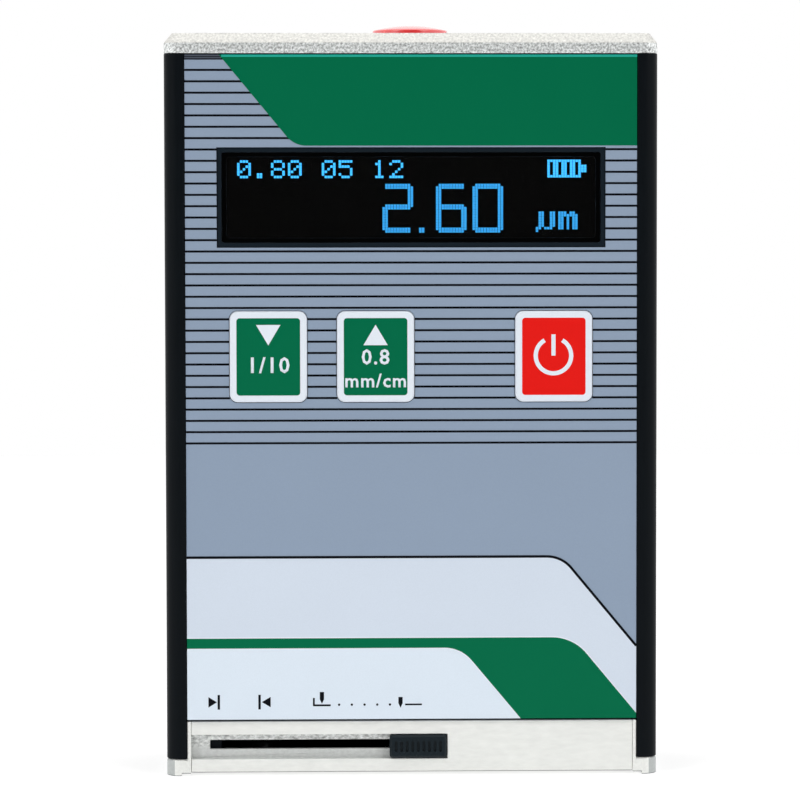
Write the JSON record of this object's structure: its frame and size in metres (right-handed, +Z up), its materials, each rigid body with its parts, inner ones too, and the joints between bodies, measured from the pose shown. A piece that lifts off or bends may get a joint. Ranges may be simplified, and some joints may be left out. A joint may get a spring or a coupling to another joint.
{
  "type": "pocket surface roughness tester",
  "caption": "Pocket surface roughness tester: slim upright case with a display, membrane keys, a start button and a sliding shutter over a driven stylus pick-up in its base.",
  "frame": {"origin": "middle of the footprint, on the surface that the foot bars stand on", "axes": "+Z up to the start button, -Y out of the front panel, +X to the panel's right"},
  "size_m": [0.07, 0.0243, 0.107],
  "materials": {
    "anodised_black": "black anodised, satin",
    "blasted_aluminium": "bead blasted",
    "panel_film": "printed film, satin",
    "key_green": "green field with a white border",
    "key_red": "red field with a white border",
    "button_red": "red, smooth",
    "display_black": "dark slate, satin",
    "display_glass": "clear smoked window",
    "knob_black": "moulded, ribbed",
    "steel": "machined",
    "brass": "machined",
    "board_green": "solder mask",
    "chip_black": "moulded",
    "foam_grey": "closed-cell foam",
    "cell_silver": "laminate pouch"
  },
  "bodies": {
    "instrument": {"housing": "anodised_black", "top_cap": "blasted_aluminium", "top_cap_screws": "steel", "start_board": "board_green", "start_board_screws": "steel", "start_switch": "chip_black", "panel_overlay": "panel_film", "display_frame": "display_black", "display_window": "display_glass", "display_module": "display_black", "display_pad": "foam_grey", "key_switches": "chip_black", "main_board": "board_green", "circuit_chips": "chip_black", "charge_socket": "steel", "battery": "cell_silver", "battery_pad": "foam_grey", "base_cap": "blasted_aluminium", "base_cap_screws": "steel", "slot_plate": "blasted_aluminium", "drive_frame": "blasted_aluminium", "drive_frame_screws": "steel", "drive_motor": "steel", "motor_screws": "steel", "screw_bushes": "brass", "guide_rod": "steel"},
    "start_button": {"start_button": "button_red"},
    "key_down": {"key_down": "key_green"},
    "key_up": {"key_up": "key_green"},
    "key_power": {"key_power": "key_red"},
    "shutter": {"shutter_knob": "knob_black", "shutter_blade": "steel"},
    "lead_screw": {"lead_screw": "steel", "screw_gear": "brass"},
    "motor_rotor": {"motor_shaft": "steel", "motor_pinion": "brass"},
    "carriage": {"carriage": "knob_black", "drive_nut": "brass", "pivot_pin": "steel", "pickup_spring": "steel"},
    "pickup": {"pickup_body": "steel", "lift_pin": "steel", "skid": "steel", "stylus": "steel"}
  },
  "joints": [
    {"name": "start_button_press", "type": "slide", "parent": "instrument", "child": "start_button", "axis": [0, 0, -1], "range_m": [0, 0.0008], "stiffness_N_per_m": 1500, "springref_m": -0.0006},
    {"name": "key_down_press", "type": "slide", "parent": "instrument", "child": "key_down", "axis": [0, 1, 0], "range_m": [0, 0.0003], "stiffness_N_per_m": 3000, "springref_m": -0.0003},
    {"name": "key_up_press", "type": "slide", "parent": "instrument", "child": "key_up", "axis": [0, 1, 0], "range_m": [0, 0.0003], "stiffness_N_per_m": 3000, "springref_m": -0.0003},
    {"name": "key_power_press", "type": "slide", "parent": "instrument", "child": "key_power", "axis": [0, 1, 0], "range_m": [0, 0.0003], "stiffness_N_per_m": 3000, "springref_m": -0.0003},
    {"name": "shutter_slide", "type": "slide", "parent": "instrument", "child": "shutter", "axis": [-1, 0, 0], "range_m": [0, 0.0275]},
    {"name": "carriage_traverse", "type": "slide", "parent": "instrument", "child": "carriage", "axis": [-1, 0, 0], "range_m": [0, 0.006]},
    {"name": "lead_screw_turn", "type": "hinge", "parent": "instrument", "child": "lead_screw", "pos_m": [0, 0.0055, 0.01], "axis": [1, 0, 0], "range_deg": [0, 2170]},
    {"name": "motor_turn", "type": "hinge", "parent": "instrument", "child": "motor_rotor", "pos_m": [0.02, 0.0055, 0.0172], "axis": [1, 0, 0], "range_deg": [-2710, 0]},
    {"name": "pickup_lift", "type": "hinge", "parent": "carriage", "child": "pickup", "pos_m": [0.008, 0, 0.0055], "axis": [0, 1, 0], "range_deg": [0, 7.3], "deforming": ["pickup_spring"]}
  ],
  "couplings": [
    {"joint": "lead_screw_turn", "follows": "carriage_traverse", "rad_per_m": 6283.2},
    {"joint": "motor_turn", "follows": "carriage_traverse", "rad_per_m": -7854},
    {"joint": "pickup_lift", "follows": "shutter_slide", "rad_per_m": 4.5696}
  ]
}
